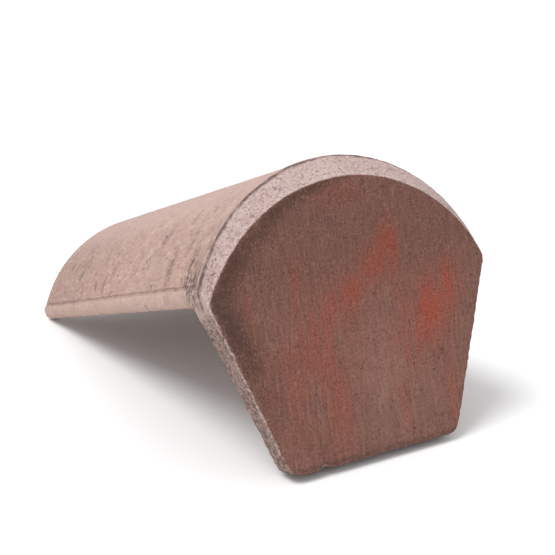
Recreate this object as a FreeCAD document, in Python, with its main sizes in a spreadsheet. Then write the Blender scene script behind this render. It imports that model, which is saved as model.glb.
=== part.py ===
"""Half round ridge tile with a blocked end, cast in one piece of pigmented concrete.

Local frame of the tile while it is modelled: +X across, +Y along the barrel from the blocked end
to the open end, +Z up, with Z = 0 at the bedding edges and Y = 0 where the end face crosses that
level. The body is then laid down as the tile lies by itself: on the foot of its end plate and on
the two lower corners of its open end, with the origin on the floor under the middle of its box.
Lengths are in millimetres and angles in degrees.
"""

import FreeCAD, Part
import math
import os
import Sketcher

SIZES = {
    # barrel
    "barrel_length": 450,
    "barrel_radius": 135.3,
    "arch_centre_depth": 37.5,
    "wall": 16,
    # thickened edge that beds on the roof
    "bed_half_width": 123,
    "belly_half_width": 126.5,
    "belly_height": 11,
    "band_height": 14,
    # collar where the barrel runs into the end plate
    "collar_proud": 1,
    "collar_start": 11,
    "collar_end": 18,
    # end plate, with straight sides that taper from the bedding level to the foot
    "plate_back": 29.5,
    "plate_drop": 136.6,
    "side_half_width": 125,
    "foot_half_width": 77.3,
    "shoulder_radius": 9,
    "foot_radius": 13,
    # end face
    "face_radius": 138,
    "face_centre_depth": 59.2,
    "face_lean": 3.4,
    # rounding of the exposed edges
    "arris": 2.5,
}

NODE = "ridge_tile"
ORIGIN = (-1, 1)
X_AXIS, Z_AXIS = -1, -2
START, END, CENTRE = 1, 2, 3

doc = FreeCAD.newDocument("ridge_tile")


def make_sheet():
    """The driving dimensions: a name in column A and its aliased value in column B."""
    sheet = doc.addObject("Spreadsheet::Sheet", "Sizes")
    for row, (alias, value) in enumerate(SIZES.items(), start=1):
        sheet.set(f"A{row}", alias)
        sheet.set(f"B{row}", str(value))
        sheet.setAlias(f"B{row}", alias)
    doc.recompute()
    return sheet


sheet = make_sheet()


def size(alias):
    return float(sheet.get(alias))


def section(body, name, set_back=None, lean=None):
    """An empty sketch across the barrel, moved along +Y by one size or turned about X by another."""
    sketch = body.newObject("Sketcher::SketchObject", name)
    sketch.AttachmentSupport = (
        next(f for f in body.Origin.OriginFeatures if f.Role == "XZ_Plane"),
        [""],
    )
    sketch.MapMode = "FlatFace"
    if set_back:
        sketch.setExpression("AttachmentOffset.Base.z", f"-Sizes.{set_back}")
    if lean:
        sketch.AttachmentOffset = FreeCAD.Placement(
            FreeCAD.Vector(), FreeCAD.Rotation(FreeCAD.Vector(1, 0, 0), 1)
        )
        sketch.setExpression("AttachmentOffset.Rotation.Angle", f"Sizes.{lean}")
    return sketch


def vec(point):
    return FreeCAD.Vector(point[0], point[1], 0)


def mirrored(point):
    return (-point[0], point[1])


def add_arc(sketch, centre, start, end):
    """Counter-clockwise arc from start to end."""
    radius = math.dist(centre, start)
    first, last = (math.atan2(p[1] - centre[1], p[0] - centre[0]) for p in (start, end))
    circle = Part.Circle(vec(centre), FreeCAD.Vector(0, 0, 1), radius)
    return sketch.addGeometry(Part.ArcOfCircle(circle, first, last + (last < first) * 2 * math.pi))


def add_line(sketch, start, end):
    return sketch.addGeometry(Part.LineSegment(vec(start), vec(end)))


def rule(sketch, kind, *where):
    sketch.addConstraint(Sketcher.Constraint(kind, *where))


def bind(sketch, name, kind, *where, value, to):
    """Adds a dimension at its present value and ties it to an expression over the sheet."""
    index = sketch.addConstraint(Sketcher.Constraint(kind, *where, value))
    sketch.renameConstraint(index, name)
    sketch.setExpression(f"Constraints.{name}", to)


def outline_points(radius, depth):
    """Right-hand points of the plate's outline: its two fillets, each as start, centre and end."""
    top = (size("side_half_width"), 0.0)
    foot = (size("foot_half_width"), -size("plate_drop"))
    run = math.dist(top, foot)
    along = ((top[0] - foot[0]) / run, (top[1] - foot[1]) / run)
    inward = (-along[1], along[0])

    def beside(distance, offset):
        """A point that far up the side from the foot, and that far inside it."""
        return tuple(foot[i] + along[i] * distance + inward[i] * offset for i in (0, 1))

    # the shoulder's centre lies inside the side by its radius, and inside the arch by its radius
    fillet = size("shoulder_radius")
    base = beside(0, fillet)
    b = base[0] * along[0] + (base[1] + depth) * along[1]
    c = base[0] ** 2 + (base[1] + depth) ** 2 - (radius - fillet) ** 2
    height = math.sqrt(b * b - c) - b
    centre = beside(height, fillet)
    reach = radius / (radius - fillet)
    shoulder = (beside(height, 0), centre, (centre[0] * reach, (centre[1] + depth) * reach - depth))

    # the foot's fillet is tangent to the side and to the level foot
    fillet = size("foot_radius")
    back = fillet / math.tan(math.atan2(along[1], -along[0]) / 2)
    corner = ((foot[0] - back, foot[1]), (foot[0] - back, foot[1] + fillet), beside(back, 0))
    return shoulder, corner


def plate_outline(body, name, radius, depth, **where):
    """Closed outline of the end plate: an arch on two tapering sides, rounded at shoulders and foot.

    radius and depth are expressions: the arch's radius, and its centre's depth below the bed."""
    sketch = section(body, name, **where)
    arch_radius, arch_depth = (float(sketch.evalExpression(e)) for e in (radius, depth))
    shoulder, corner = outline_points(arch_radius, arch_depth)
    crown = add_arc(sketch, (0, -arch_depth), shoulder[2], mirrored(shoulder[2]))
    left = [mirrored(p) for p in (*shoulder, *corner)]
    shoulder_l = add_arc(sketch, left[1], left[2], left[0])
    side_l = add_line(sketch, left[0], left[5])
    corner_l = add_arc(sketch, left[4], left[5], left[3])
    base = add_line(sketch, left[3], corner[0])
    corner_r = add_arc(sketch, corner[1], corner[0], corner[2])
    side_r = add_line(sketch, corner[2], shoulder[0])
    shoulder_r = add_arc(sketch, shoulder[1], shoulder[0], shoulder[2])
    ring = [crown, shoulder_l, side_l, corner_l, base, corner_r, side_r, shoulder_r]
    for here, after in zip(ring, ring[1:] + ring[:1]):
        rule(sketch, "Tangent", here, END, after, START)
    rule(sketch, "PointOnObject", crown, CENTRE, Z_AXIS)
    rule(sketch, "Horizontal", base)
    rule(sketch, "Equal", shoulder_l, shoulder_r)
    rule(sketch, "Equal", corner_l, corner_r)
    bind(sketch, "arch_depth", "DistanceY", crown, CENTRE, *ORIGIN, value=arch_depth, to=depth)
    bind(sketch, "arch_radius", "Radius", crown, value=arch_radius, to=radius)
    for alias, edge in (("shoulder_radius", shoulder_r), ("foot_radius", corner_r)):
        bind(sketch, alias, "Radius", edge, value=size(alias), to=f"Sizes.{alias}")
    drop = size("plate_drop")
    bind(sketch, "drop", "DistanceY", base, START, *ORIGIN, value=drop, to="Sizes.plate_drop")
    for alias, level, height in (
        ("side_half_width", X_AXIS, 0),
        ("foot_half_width", base, -drop),
    ):
        for side, sign in ((side_r, 1), (side_l, -1)):
            point = sketch.addGeometry(Part.Point(vec((sign * size(alias), height))), True)
            rule(sketch, "PointOnObject", point, START, side)
            rule(sketch, "PointOnObject", point, START, level)
            ends = (*ORIGIN, point, START) if sign > 0 else (point, START, *ORIGIN)
            label = f"{alias}_{'right' if sign > 0 else 'left'}"
            bind(sketch, label, "DistanceX", *ends, value=size(alias), to=f"Sizes.{alias}")
    return sketch


def barrel_section(body, name, **where):
    """Closed section of the barrel: outer arch, swollen edge, flat bed and inner arch."""
    sketch = section(body, name, **where)
    outer, depth = size("barrel_radius"), size("arch_centre_depth")
    inner = outer - size("wall")
    band = (math.sqrt(outer**2 - (size("band_height") + depth) ** 2), size("band_height"))
    belly = (size("belly_half_width"), size("belly_height"))
    bed = (size("bed_half_width"), 0.0)
    inside = (math.sqrt(inner**2 - depth**2), 0.0)
    swell = belly[0] - bed[0]
    swell_radius = (swell**2 + belly[1] ** 2) / (2 * swell)
    swell_centre = (belly[0] - swell_radius, belly[1])
    centre = (0, -depth)
    over = add_arc(sketch, centre, band, mirrored(band))
    step_l = add_line(sketch, mirrored(band), mirrored(belly))
    swell_l = add_arc(sketch, mirrored(swell_centre), mirrored(belly), mirrored(bed))
    bed_l = add_line(sketch, mirrored(bed), mirrored(inside))
    under = add_arc(sketch, centre, inside, mirrored(inside))
    bed_r = add_line(sketch, inside, bed)
    swell_r = add_arc(sketch, swell_centre, bed, belly)
    step_r = add_line(sketch, belly, band)
    joints = [
        (over, END, step_l, START),
        (step_l, END, swell_l, START),
        (swell_l, END, bed_l, START),
        (bed_l, END, under, END),
        (under, START, bed_r, START),
        (bed_r, END, swell_r, START),
        (swell_r, END, step_r, START),
        (step_r, END, over, START),
        (over, CENTRE, under, CENTRE),
    ]
    for joint in joints:
        rule(sketch, "Coincident", *joint)
    rule(sketch, "PointOnObject", over, CENTRE, Z_AXIS)
    bind(sketch, "arch_depth", "DistanceY", over, CENTRE, *ORIGIN, value=depth,
         to="Sizes.arch_centre_depth")
    bind(sketch, "outer_radius", "Radius", over, value=outer, to="Sizes.barrel_radius")
    bind(sketch, "inner_radius", "Radius", under, value=inner,
         to="Sizes.barrel_radius - Sizes.wall")
    for label, step, step_end, swelling, bed_line, sign in (
        ("right", step_r, START, swell_r, bed_r, 1),
        ("left", step_l, END, swell_l, bed_l, -1),
    ):
        rule(sketch, "PointOnObject", bed_line, START, X_AXIS)
        rule(sketch, "PointOnObject", bed_line, END, X_AXIS)
        rule(sketch, "Horizontal", swelling, CENTRE, step, step_end)
        bed_end = (bed_line, END if sign > 0 else START)
        for alias, point in (("bed_half_width", bed_end), ("belly_half_width", (step, step_end))):
            ends = (*ORIGIN, *point) if sign > 0 else (*point, *ORIGIN)
            bind(sketch, f"{alias}_{label}", "DistanceX", *ends, value=size(alias),
                 to=f"Sizes.{alias}")
        for alias, point in (
            ("belly_height", (step, step_end)),
            ("band_height", (over, START if sign > 0 else END)),
        ):
            bind(sketch, f"{alias}_{label}", "DistanceY", *ORIGIN, *point, value=size(alias),
                 to=f"Sizes.{alias}")
    return sketch


def pad(body, name, profile, length):
    """Pads a sketch towards the open end."""
    feature = body.newObject("PartDesign::Pad", name)
    feature.Profile = profile
    feature.Reversed = True
    feature.setExpression("Length", length)
    return feature


def exposed_edges(shape):
    """The edges that are rubbed round: of the end face, the plate's back and the open end."""
    found = []
    for index, edge in enumerate(shape.Edges, start=1):
        box = edge.BoundBox
        in_face = box.YMax < size("collar_start") - 0.1 and box.XLength + box.ZLength > 1
        open_end = box.YMin > size("barrel_length") - 0.1
        low_back = box.YMin > size("plate_back") - 0.1 and box.YLength < 0.1 and box.ZMax < -0.1
        if in_face or open_end or low_back:
            found.append(f"Edge{index}")
    return found


def make_tile():
    body = doc.addObject("PartDesign::Body", NODE)
    body.Label = NODE
    barrel = barrel_section(body, "BarrelSection", set_back="collar_start")
    pad(body, "Barrel", barrel, "Sizes.barrel_length - Sizes.collar_start")
    plate = plate_outline(
        body,
        "PlateOutline",
        "Sizes.barrel_radius - Sizes.wall / 4",
        "Sizes.arch_centre_depth",
        set_back="collar_start",
    )
    pad(body, "Plate", plate, "Sizes.plate_back - Sizes.collar_start")
    rim = plate_outline(
        body,
        "RimOutline",
        "Sizes.barrel_radius + Sizes.collar_proud",
        "Sizes.arch_centre_depth",
        set_back="collar_start",
    )
    pad(body, "Collar", rim, "Sizes.collar_end - Sizes.collar_start")
    face = plate_outline(
        body, "FaceOutline", "Sizes.face_radius", "Sizes.face_centre_depth", lean="face_lean"
    )
    bevel = body.newObject("PartDesign::AdditiveLoft", "Bevel")
    bevel.Profile = face
    bevel.Sections = [rim]
    bevel.Ruled = True
    doc.recompute()
    rounding = body.newObject("PartDesign::Fillet", "Arris")
    rounding.Base = (bevel, exposed_edges(bevel.Shape))
    rounding.setExpression("Radius", "Sizes.arris")
    doc.recompute()
    return body


def lay_down(body):
    """Turns the tile to its resting tilt and puts the origin on the floor under its box."""
    run = size("barrel_length") - size("plate_back")
    tilt = math.degrees(math.atan2(size("plate_drop"), run))
    turn = FreeCAD.Rotation(FreeCAD.Vector(1, 0, 0), -tilt)
    body.Placement = FreeCAD.Placement(FreeCAD.Vector(), turn)
    box = body.Shape.optimalBoundingBox(False)
    foot = FreeCAD.Vector((box.XMin + box.XMax) / 2, (box.YMin + box.YMax) / 2, box.ZMin)
    body.Placement = FreeCAD.Placement(-foot, turn)


def check(body):
    """Stops before anything is written if an object failed or the tile isn't one valid solid."""
    failed = [o.Name for o in doc.Objects if {"Invalid", "Error"} & set(o.State)]
    if failed:
        raise SystemExit(f"failed objects: {failed}")
    shape = body.Shape
    if shape.isNull() or not shape.isValid() or len(shape.Solids) != 1:
        raise SystemExit(f"{body.Label} is not one valid solid")


tile = make_tile()
lay_down(tile)
doc.recompute()
check(tile)
os.makedirs("parts", exist_ok=True)
tile.Shape.exportStep(f"parts/{tile.Label}.step")
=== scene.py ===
import math

import bmesh
import bpy
import numpy as np
from mathutils import Matrix, Vector, noise


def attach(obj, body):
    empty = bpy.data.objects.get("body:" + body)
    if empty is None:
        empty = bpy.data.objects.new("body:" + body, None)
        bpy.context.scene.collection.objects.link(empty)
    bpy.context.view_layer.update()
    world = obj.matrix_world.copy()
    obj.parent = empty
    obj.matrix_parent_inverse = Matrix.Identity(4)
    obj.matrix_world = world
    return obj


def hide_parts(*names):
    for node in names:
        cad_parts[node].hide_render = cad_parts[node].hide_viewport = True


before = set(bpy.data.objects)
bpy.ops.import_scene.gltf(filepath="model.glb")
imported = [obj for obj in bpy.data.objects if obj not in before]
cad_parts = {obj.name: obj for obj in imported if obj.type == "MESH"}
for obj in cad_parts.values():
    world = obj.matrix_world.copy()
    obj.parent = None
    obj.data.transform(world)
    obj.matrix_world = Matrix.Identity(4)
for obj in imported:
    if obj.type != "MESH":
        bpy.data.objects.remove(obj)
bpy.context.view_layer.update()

# ---- concrete: the one finish of the tile ----
# Pigmented concrete, cast rough. All of it is nodes on Object coordinates turned into the tile's
# own directions (x across, y along the barrel from the end face, z up from the bedding edge), mixed
# by masks that are stored on the mesh.
tilt = math.radians(17.9965)
bed_back = -0.211796
bed_height = 0.138381
concrete = bpy.data.materials.new("concrete")
concrete.use_nodes = True
tree = concrete.node_tree
tree.nodes.clear()


def add(kind, **settings):
    made = tree.nodes.new(kind)
    for key, value in settings.items():
        setattr(made, key, value)
    return made


def feed(socket, value):
    if isinstance(value, bpy.types.NodeSocket):
        tree.links.new(value, socket)
    else:
        socket.default_value = value


def tint(red, green, blue):
    """Linear colour from display values of 0 to 255."""
    return tuple(((v / 255 + 0.055) / 1.055) ** 2.4 for v in (red, green, blue)) + (1.0,)


def maths(kind, a, b=0.0):
    made = add("ShaderNodeMath", operation=kind)
    feed(made.inputs[0], a)
    feed(made.inputs[1], b)
    return made.outputs[0]


def blend(factor, a, b, kind="MIX"):
    made = add("ShaderNodeMix", data_type="RGBA", blend_type=kind, clamp_factor=True)
    feed(made.inputs[0], factor)
    feed(made.inputs[6], a)
    feed(made.inputs[7], b)
    return made.outputs[2]


def ramp(value, low, high):
    """0 below low and 1 above high; the other way round when low is the larger."""
    made = add("ShaderNodeMapRange", interpolation_type="SMOOTHSTEP")
    feed(made.inputs[0], value)
    made.inputs[1].default_value = min(low, high)
    made.inputs[2].default_value = max(low, high)
    made.inputs[3].default_value = 0.0 if low < high else 1.0
    made.inputs[4].default_value = 1.0 if low < high else 0.0
    return made.outputs[0]


def mask(name):
    return add("ShaderNodeAttribute", attribute_name=name).outputs["Fac"]


def stretched(x, y, z):
    made = add("ShaderNodeMapping", vector_type="POINT")
    feed(made.inputs["Vector"], local.outputs[0])
    made.inputs["Scale"].default_value = (x, y, z)
    return made.outputs[0]


def cloud(vector, scale, detail=3.0, roughness=0.6):
    made = add("ShaderNodeTexNoise")
    feed(made.inputs["Vector"], vector)
    made.inputs["Scale"].default_value = scale
    made.inputs["Detail"].default_value = detail
    made.inputs["Roughness"].default_value = roughness
    return made.outputs["Fac"]


def cells(vector, scale):
    made = add("ShaderNodeTexVoronoi")
    feed(made.inputs["Vector"], vector)
    made.inputs["Scale"].default_value = scale
    return made


coords = add("ShaderNodeTexCoord")
local = add("ShaderNodeMapping", vector_type="POINT")
tree.links.new(coords.outputs["Object"], local.inputs["Vector"])
local.inputs["Rotation"].default_value = (tilt, 0.0, 0.0)
local.inputs["Location"].default_value = (
    0.0,
    bed_height * math.sin(tilt) - bed_back * math.cos(tilt),
    -bed_back * math.sin(tilt) - bed_height * math.cos(tilt),
)
plain = local.outputs[0]
split = add("ShaderNodeSeparateXYZ")
tree.links.new(plain, split.inputs[0])

fine = cloud(plain, 620, 3)
grit = cloud(plain, 260, 4, 0.7)
mottle = cloud(plain, 55, 5, 0.65)
broad = cloud(plain, 13, 3)
pits = ramp(cloud(plain, 330, 2, 0.5), 0.37, 0.3)
grain = cloud(stretched(330, 110, 330), 1, 3, 0.7)
big_cells = cells(plain, 75)
few = ramp(big_cells.outputs["Color"], 0.83, 0.86)
holes = maths("MULTIPLY", ramp(big_cells.outputs["Distance"], 0.17, 0.09), few)

wander = maths("MULTIPLY", maths("SUBTRACT", cloud(plain, 90, 3), 0.5), 0.0035)
# barrel: pinkish beige, darker towards the open end, with sparse dark drag marks round the arch
marks = ramp(cloud(stretched(62, 150, 62), 1, 4, 0.7), 0.6, 0.65)
few_marks = ramp(cloud(plain, 17, 2), 0.4, 0.6)
marks = maths("MULTIPLY", marks, maths("ADD", maths("MULTIPLY", few_marks, 0.75), 0.25))
skin = blend(ramp(mottle, 0.25, 0.75), tint(164, 135, 125), tint(182, 154, 144))
skin = blend(maths("MULTIPLY", ramp(split.outputs["Y"], 0.12, 0.46), 0.55), skin, tint(148, 122, 112))
skin = blend(maths("MULTIPLY", ramp(broad, 0.45, 0.65), 0.4), skin, tint(178, 141, 130))
skin = blend(maths("MULTIPLY", marks, 0.75), skin, tint(98, 76, 70))
skin = blend(maths("MULTIPLY", ramp(grain, 0.54, 0.7), 0.5), skin, tint(206, 184, 174))
skin = blend(maths("MULTIPLY", ramp(grain, 0.46, 0.3), 0.6), skin, tint(122, 96, 88))
skin = blend(maths("MULTIPLY", holes, 0.85), skin, tint(70, 53, 49))
skin = blend(maths("MULTIPLY", mask("band"), 0.5), skin, tint(196, 170, 158))
# painted light: the barrel is made lighter towards its top, standing in for the light from above
skin = blend(maths("MULTIPLY", ramp(split.outputs["Z"], 0.05, 0.095), 0.5), skin, tint(202, 176, 168))
skin = blend(maths("MULTIPLY", mask("inner"), 0.6), skin, tint(128, 104, 96))
# painted shade: a dark line along the groove at the top of the band, broken by the grain
lip = maths("ABSOLUTE", maths("SUBTRACT", maths("ADD", split.outputs["Z"], wander), 0.0155))
lip = maths("MULTIPLY", ramp(lip, 0.0016, 0.0004), mask("side"))
lip_shade = maths("MULTIPLY", maths("MULTIPLY", lip, 0.55), ramp(grain, 0.42, 0.62))
skin = blend(lip_shade, skin, tint(104, 80, 72))

# bevel: smoother pinkish grey; the plate's edges lower down are browner, with dark pits
rim = blend(ramp(mottle, 0.3, 0.7), tint(172, 147, 142), tint(188, 165, 160))
rim = blend(maths("MULTIPLY", ramp(grit, 0.42, 0.34), 0.5), rim, tint(132, 108, 104))
rim = blend(maths("MULTIPLY", ramp(grit, 0.6, 0.7), 0.5), rim, tint(212, 194, 189))
low = blend(ramp(grit, 0.38, 0.62), tint(98, 79, 72), tint(158, 132, 122))
low = blend(maths("MULTIPLY", pits, 0.85), low, tint(52, 40, 36))
rim = blend(ramp(split.outputs["Z"], -0.002, -0.02), rim, low)
drips = ramp(cloud(stretched(170, 30, 30), 1, 3), 0.5, 0.66)
rim = blend(maths("MULTIPLY", drips, 0.3), rim, tint(150, 120, 114))
# painted light: the bevel is made lighter towards its top, standing in for the light from above
rim = blend(maths("MULTIPLY", ramp(split.outputs["Z"], 0.03, 0.09), 0.55), rim, tint(206, 182, 177))
rim = blend(maths("MULTIPLY", maths("MULTIPLY", pits, 0.5), few_marks), rim, tint(112, 90, 86))
rim = blend(maths("MULTIPLY", ramp(fine, 0.5, 0.34), 0.55), rim, tint(122, 99, 95))
rim = blend(maths("MULTIPLY", ramp(fine, 0.54, 0.68), 0.4), rim, tint(218, 200, 195))
depth = maths("ADD", split.outputs["Y"], maths("MULTIPLY", split.outputs["Z"], 0.0594))
depth = maths("ADD", depth, maths("MULTIPLY", wander, 0.25))
# painted highlight: a thin pale line along the edge of the end face, broken by the fine grain
pale = maths("MULTIPLY", ramp(depth, 0.0008, 0.0016), ramp(depth, 0.0046, 0.0022))
pale = maths("MULTIPLY", pale, ramp(split.outputs["Z"], -0.13, -0.11))
pale = maths("MULTIPLY", pale, ramp(fine, 0.4, 0.58))
rim = blend(maths("MULTIPLY", pale, 0.4), rim, tint(208, 190, 183))
under = ramp(split.outputs["Z"], -0.131, -0.135)
rim = blend(maths("MULTIPLY", under, 0.7), rim, tint(84, 64, 57))

# end face: red-brown with a fine grain, faint upright lines and soft red runs
lines = cloud(stretched(620, 60, 48), 1, 3)
runs = cloud(stretched(85, 10, 16), 1, 4, 0.6)
front = blend(ramp(lines, 0.3, 0.7), tint(110, 77, 68), tint(136, 98, 88))
front = blend(maths("MULTIPLY", ramp(mottle, 0.4, 0.66), 0.35), front, tint(126, 84, 70))
front = blend(maths("MULTIPLY", mask("grey"), ramp(mottle, 0.2, 0.7)), front, tint(150, 112, 100))
front = blend(maths("MULTIPLY", mask("red"), ramp(runs, 0.3, 0.62)), front, tint(154, 74, 58))
upper = ramp(split.outputs["Z"], -0.03, 0.03)
front = blend(maths("MULTIPLY", upper, 0.3), front, tint(94, 62, 52))
front = blend(maths("MULTIPLY", mask("border"), ramp(mottle, 0.2, 0.6)), front, tint(84, 58, 49))
front = blend(maths("MULTIPLY", ramp(fine, 0.47, 0.32), 0.6), front, tint(74, 50, 43))
front = blend(maths("MULTIPLY", ramp(fine, 0.54, 0.7), 0.3), front, tint(172, 134, 122))
specks = cells(plain, 330)
lit = ramp(specks.outputs["Color"], 0.9, 0.93)
spots = maths("MULTIPLY", ramp(specks.outputs["Distance"], 0.3, 0.16), lit)
front = blend(maths("MULTIPLY", spots, 0.3), front, tint(190, 166, 154))
dots = cells(plain, 210)
sunk = ramp(dots.outputs["Color"], 0.84, 0.88)
dimples = maths("MULTIPLY", ramp(dots.outputs["Distance"], 0.26, 0.14), sunk)
front = blend(maths("MULTIPLY", dimples, 0.7), front, tint(52, 36, 32))

flat_front = ramp(depth, 0.0017, 0.0009)
colour = blend(mask("bevel"), skin, rim)
colour = blend(flat_front, colour, front)
colour = blend(maths("MULTIPLY", mask("dirt"), ramp(grit, 0.4, 0.56)), colour, tint(74, 58, 53))

# painted shade: a dark line in each of the two steps of the collar, wavering and broken
along = maths("ADD", split.outputs["Y"], wander)
first = ramp(maths("ABSOLUTE", maths("SUBTRACT", along, 0.0112)), 0.0021, 0.0006)
second = ramp(maths("ABSOLUTE", maths("SUBTRACT", along, 0.0184)), 0.0015, 0.0003)
broken = ramp(cloud(plain, 75, 5, 0.7), 0.36, 0.6)
step_shade = maths("MAXIMUM", first, maths("MULTIPLY", second, 0.6))
step_shade = maths("MULTIPLY", step_shade, maths("ADD", maths("MULTIPLY", broken, 0.75), 0.25))
step_shade = maths("MULTIPLY", step_shade, mask("outer"))
colour = blend(maths("MULTIPLY", step_shade, 0.85), colour, tint(78, 60, 55))

# relief finer than the mesh
height = maths("ADD", maths("MULTIPLY", fine, 0.6), maths("MULTIPLY", grit, 0.7))
height = maths("SUBTRACT", height, maths("MULTIPLY", holes, 1.6))
height = maths("SUBTRACT", height, maths("MULTIPLY", maths("MULTIPLY", pits, mask("bevel")), 0.7))
height = maths("SUBTRACT", height, maths("MULTIPLY", marks, 0.5))
height = maths("ADD", height, maths("MULTIPLY", maths("MULTIPLY", lines, flat_front), 0.35))
height = maths("SUBTRACT", height, maths("MULTIPLY", step_shade, 1.5))
height = maths("SUBTRACT", height, maths("MULTIPLY", lip, 0.8))
bump = add("ShaderNodeBump")
bump.inputs["Strength"].default_value = 0.9
bump.inputs["Distance"].default_value = 0.0016
tree.links.new(height, bump.inputs["Height"])

surface = add("ShaderNodeBsdfPrincipled")
feed(surface.inputs["Base Color"], colour)
feed(surface.inputs["Normal"], bump.outputs[0])
feed(surface.inputs["Roughness"], maths("ADD", maths("MULTIPLY", grit, 0.12), 0.84))
surface.inputs["Specular IOR Level"].default_value = 0.25
output = add("ShaderNodeOutputMaterial")
tree.links.new(surface.outputs[0], output.inputs["Surface"])

# ---- tile: the cast body ----
# Concrete. A copy of the solid is remeshed evenly, its regions are marked for the finish, and each
# point is then pushed in or out: the cast skin, crumbly edges, lumps at the shoulders and a nick.
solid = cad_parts["ridge_tile"]
tile = solid.copy()
tile.data = solid.data.copy()
tile.name = "tile_body"
tile.parent = None
tile.matrix_world = Matrix.Identity(4)
bpy.context.scene.collection.objects.link(tile)
shell = bmesh.new()
shell.from_mesh(tile.data)
bmesh.ops.remove_doubles(shell, verts=shell.verts, dist=1e-6)
shell.to_mesh(tile.data)
shell.free()
even = tile.modifiers.new("even", "REMESH")
even.mode = "VOXEL"
even.voxel_size = 0.0026
bpy.context.view_layer.update()
mesh = bpy.data.meshes.new_from_object(tile.evaluated_get(bpy.context.evaluated_depsgraph_get()))
tile.modifiers.clear()
tile.data = mesh

count = len(mesh.vertices)
place = np.empty(count * 3)
mesh.vertices.foreach_get("co", place)
place = place.reshape(-1, 3)
facing = np.empty(count * 3)
mesh.vertices.foreach_get("normal", facing)
facing = facing.reshape(-1, 3)
cosine = math.cos(tilt)
sine = math.sin(tilt)
turn = np.array([[1, 0, 0], [0, cosine, -sine], [0, sine, cosine]])
at = (place - np.array([0, bed_back, bed_height])) @ turn.T
toward = facing @ turn.T
x, y, z = at.T
radius = np.hypot(x, z + 0.0375)


def fade(value, low, high):
    step = np.clip((value - low) / (high - low), 0, 1)
    return step * step * (3 - 2 * step)


def waves(scale, shift=0.0):
    """Smooth noise of about -1 to 1 with lumps of that size in metres."""
    offset = Vector((shift, shift * 2, shift * 3))
    return np.array([noise.noise(Vector(p) / scale + offset) for p in at.tolist()])


def near(value, middle, width):
    return np.exp(-(((value - middle) / width) ** 2))


face_depth = y + 0.0594 * z
face = fade(-toward[:, 1], 0.8, 0.93) * fade(face_depth, 0.0035, 0.0018)
behind = fade(z, -0.001, -0.004) * fade(y, 0.006, 0.012)
bevel = np.clip((1 - face) * np.maximum(fade(y, 0.0125, 0.0108), behind), 0, 1)
outer = fade(radius, 0.125, 0.13) * fade(z, -0.006, 0.002)
lumps_small, lumps, lumps_large = waves(0.0045, 3.1), waves(0.009, 7.7), waves(0.024, 1.3)
edge = (1 - face) * fade(face_depth, 0.0065, 0.003) * fade(-toward[:, 1], 0.25, 0.45)
band = outer * fade(z, 0.0155, 0.0125) * fade(y, 0.017, 0.019)
inner = fade(radius, 0.1225, 0.1205) * fade(y, 0.02, 0.03)
inner = np.maximum(inner, fade(toward[:, 1], 0.6, 0.8))
left = fade(-x, 0.08, 0.1)
smudge = near(y, 0.042 + lumps_large * 0.004, 0.006)
smudge *= fade(z, 0.062, 0.03) * fade(z, 0.012, 0.02) * left
shoulder_dirt = near(y, 0.026, 0.012) * near(z, 0.012, 0.02) * outer * 0.8
face_dirt = face * fade(-x - 0.35 * z, 0.098, 0.118) * fade(z, -0.05, -0.01) * fade(z, 0.035, 0.01)
foot_line = face * near(z, -0.1325, 0.0016) * 0.8
drag = near(y, 0.082 + 0.1 * (z - 0.02), 0.006) * fade(z, 0.056, 0.03) * fade(z, 0.014, 0.02) * left
drag += near(y, 0.125 + 0.1 * (z - 0.05), 0.005) * near(z, 0.06, 0.012) * left
dirt = np.clip(drag * 0.6 + smudge * 0.75 + shoulder_dirt + face_dirt * 0.6 + foot_line, 0, 1)
# red runs: middle across and up in mm, half spread across and up in mm, lean, strength
red = np.zeros(count)
for middle_x, middle_z, wide, tall, lean, strength in (
    (-2, 68, 30, 9, 0, 0.3),
    (32, 20, 8, 24, 0, 0.75),
    (4, 3, 20, 26, 1.0, 0.7),
    (-48, -60, 34, 52, 0.3, 0.36),
    (-30, -96, 13, 40, 0, 0.3),
    (60, -35, 27, 32, 0.4, 0.75),
    (84, -6, 8, 20, 0, 0.5),
    (78, -104, 8, 34, 0, 0.35),
    (-53, 8, 7, 18, 0, 0.35),
    (-95, -5, 4, 20, 0, 0.35),
    (29, -98, 5, 26, 0, 0.45),
):
    across = x - middle_x / 1000
    rise = z - middle_z / 1000
    red += strength * near(across - lean * rise, 0, wide / 1000) * near(rise, 0, tall / 1000)
red = np.clip(red * 1.25, 0, 1)
grey = 0.7 * near(x, 0.012, 0.024) * near(z, -0.062, 0.03)
grey += 0.35 * near(x, 0.03, 0.05) * near(z, -0.1, 0.03)
arch_width = np.sqrt(np.maximum(0.138**2 - (z + 0.0592) ** 2, 0))
half_width = np.where(z < -0.003, 0.077 + (z + 0.1366) * 0.349, arch_width)
border = face * fade(half_width + x, 0.034, 0.004) * fade(x, 0.04, -0.02) * fade(z, -0.11, -0.03)
masks = {
    "bevel": bevel,
    "rough": bevel * fade(z, 0.004, -0.006),
    "outer": outer,
    "side": outer * fade(y, 0.0185, 0.021),
    "band": band,
    "inner": inner,
    "dirt": dirt,
    "red": red,
    "grey": grey,
    "border": border,
}
for name, values in masks.items():
    stored = mesh.attributes.new(name, "FLOAT", "POINT")
    stored.data.foreach_set("value", values.astype(np.float32))

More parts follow.
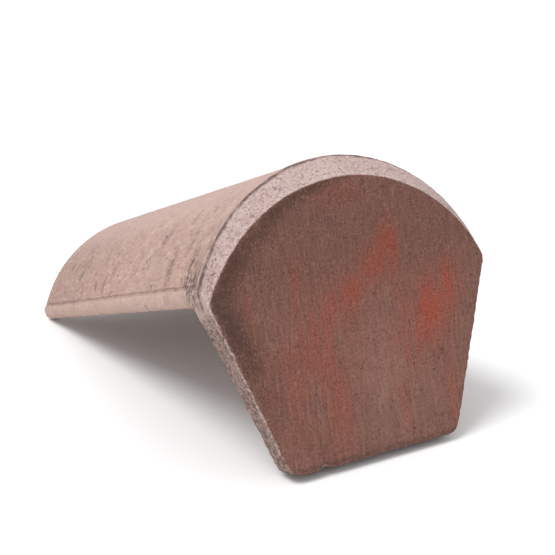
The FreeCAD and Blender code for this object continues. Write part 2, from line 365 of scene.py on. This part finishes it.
push = 0.00022 * lumps_large + 0.00016 * lumps + 0.00008 * lumps_small
push *= 1 - 0.5 * face
push += bevel * (0.00015 + 0.00025 * fade(z, 0.0, -0.01)) * (lumps + lumps_small)
push -= edge * 0.0006 * np.clip(lumps_small + 0.5 * lumps - 0.05, 0, 1)
bedding = near(z, 0.0, 0.005) * fade(np.abs(x), 0.105, 0.112) * fade(y, 0.015, 0.02)
push += bedding * (0.0005 * lumps + 0.0004 * lumps_small)
knob = near(np.abs(x), 0.1225, 0.006) * near(z, -0.004, 0.007) * near(y, 0.02, 0.011)
push += knob * (0.0018 + 0.0016 * lumps)
push -= outer * near(y, 0.0112, 0.0018) * 0.0005 * (1 + lumps)
bead = outer * fade(y, 0.018, 0.021) * fade(z, 0.0155, 0.0125) * fade(z, 0.0, 0.004)
push += 0.0009 * bead
nick = near(x, -0.049, 0.0028) * near(z, -0.1355, 0.004) * near(y, 0.0085, 0.006)
push -= 0.0026 * nick
place = place + facing * push[:, None]
mesh.vertices.foreach_set("co", place.ravel())
mesh.update()

# Grains of sand that stand out of the plate's crumbly edges below the bed, scattered by a node tree
# and joined into the same mesh.
grains = bpy.data.node_groups.new("grains", "GeometryNodeTree")
sockets = grains.interface
sockets.new_socket("Geometry", in_out="INPUT", socket_type="NodeSocketGeometry")
size_in = sockets.new_socket("Grain radius", in_out="INPUT", socket_type="NodeSocketFloat")
dense_in = sockets.new_socket("Grains per square metre", in_out="INPUT", socket_type="NodeSocketFloat")
seed_in = sockets.new_socket("Seed", in_out="INPUT", socket_type="NodeSocketInt")
finish_in = sockets.new_socket("Finish", in_out="INPUT", socket_type="NodeSocketMaterial")
sockets.new_socket("Geometry", in_out="OUTPUT", socket_type="NodeSocketGeometry")
make = grains.nodes.new
join = grains.links.new
given = make("NodeGroupInput")
result = make("NodeGroupOutput")
where = make("GeometryNodeInputNamedAttribute")
where.data_type = "FLOAT"
where.inputs["Name"].default_value = "rough"
scatter = make("GeometryNodeDistributePointsOnFaces")
density = make("ShaderNodeMath")
density.operation = "MULTIPLY"
ball = make("GeometryNodeMeshIcoSphere")
ball.inputs["Subdivisions"].default_value = 1
vary = make("FunctionNodeRandomValue")
vary.data_type = "FLOAT_VECTOR"
vary.inputs[0].default_value = (0.45, 0.45, 0.3)
vary.inputs[1].default_value = (1.1, 1.1, 0.7)
put = make("GeometryNodeInstanceOnPoints")
real = make("GeometryNodeRealizeInstances")
mark = make("GeometryNodeStoreNamedAttribute")
mark.data_type = "FLOAT"
mark.domain = "POINT"
mark.inputs["Name"].default_value = "bevel"
mark.inputs["Value"].default_value = 1.0
both = make("GeometryNodeJoinGeometry")
dress = make("GeometryNodeSetMaterial")
join(given.outputs["Geometry"], scatter.inputs["Mesh"])
join(where.outputs["Attribute"], density.inputs[0])
join(given.outputs["Grains per square metre"], density.inputs[1])
join(density.outputs[0], scatter.inputs["Density"])
join(given.outputs["Seed"], scatter.inputs["Seed"])
join(given.outputs["Seed"], vary.inputs["Seed"])
join(given.outputs["Grain radius"], ball.inputs["Radius"])
join(scatter.outputs["Points"], put.inputs["Points"])
join(scatter.outputs["Rotation"], put.inputs["Rotation"])
join(ball.outputs["Mesh"], put.inputs["Instance"])
join(vary.outputs[0], put.inputs["Scale"])
join(put.outputs["Instances"], real.inputs["Geometry"])
join(real.outputs["Geometry"], mark.inputs["Geometry"])
join(mark.outputs["Geometry"], both.inputs["Geometry"])
join(given.outputs["Geometry"], both.inputs["Geometry"])
join(both.outputs["Geometry"], dress.inputs["Geometry"])
join(given.outputs["Finish"], dress.inputs["Material"])
join(dress.outputs["Geometry"], result.inputs["Geometry"])
sprinkle = tile.modifiers.new("grains", "NODES")
sprinkle.node_group = grains
sprinkle[size_in.identifier] = 0.0008
sprinkle[dense_in.identifier] = 26000.0
sprinkle[seed_in.identifier] = 11
sprinkle[finish_in.identifier] = concrete
bpy.context.view_layer.update()
mesh = bpy.data.meshes.new_from_object(tile.evaluated_get(bpy.context.evaluated_depsgraph_get()))
tile.modifiers.clear()
tile.data = mesh
mesh.materials.clear()
mesh.materials.append(concrete)
mesh.polygons.foreach_set("material_index", np.zeros(len(mesh.polygons), dtype=np.int32))
mesh.polygons.foreach_set("use_smooth", np.ones(len(mesh.polygons), dtype=bool))
mesh.update()
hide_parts("ridge_tile")
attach(tile, "root")

# ---- floor ----
# A pale matt sheet that the tile lies on, far wider than the view.
bpy.ops.mesh.primitive_plane_add(size=60, location=(0, 0, -0.0006))
floor = bpy.context.object
floor.name = "floor"
paper = bpy.data.materials.new("paper")
paper.use_nodes = True
sheet = paper.node_tree.nodes["Principled BSDF"]
sheet.inputs["Base Color"].default_value = (0.93, 0.93, 0.93, 1)
sheet.inputs["Roughness"].default_value = 0.9
sheet.inputs["Specular IOR Level"].default_value = 0.1
floor.data.materials.append(paper)

# ---- light ----
# Bright even surroundings, with one soft sun above on the left.
sky = bpy.data.worlds.new("sky")
sky.use_nodes = True
sky.node_tree.nodes["Background"].inputs["Color"].default_value = (1, 1, 1, 1)
sky.node_tree.nodes["Background"].inputs["Strength"].default_value = 0.8
bpy.context.scene.world = sky
sun = bpy.data.lights.new("sun", "SUN")
sun.energy = 1.85
sun.angle = 0.5
sun_holder = bpy.data.objects.new("sun", sun)
sun_holder.rotation_euler = Vector((0.75, 0.0, -1.4)).to_track_quat("-Z", "Y").to_euler()
bpy.context.scene.collection.objects.link(sun_holder)

# ---- camera ----
# A little above the tile, in front of the end face and to its left.
lens = bpy.data.cameras.new("camera")
lens.sensor_width = 36
lens.lens = 65.0
camera = bpy.data.objects.new("camera", lens)
heading = math.radians(28.82)
dip = math.radians(17.13)
roll = math.radians(-0.72)
camera.matrix_world = (
    Matrix.Translation((-0.4054, -0.8221, 0.3663))
    @ Matrix.Rotation(-heading, 4, "Z")
    @ Matrix.Rotation(math.pi / 2 - dip, 4, "X")
    @ Matrix.Rotation(roll, 4, "Z")
)
bpy.context.scene.collection.objects.link(camera)
bpy.context.scene.camera = camera
bpy.context.scene.view_settings.view_transform = "Standard"
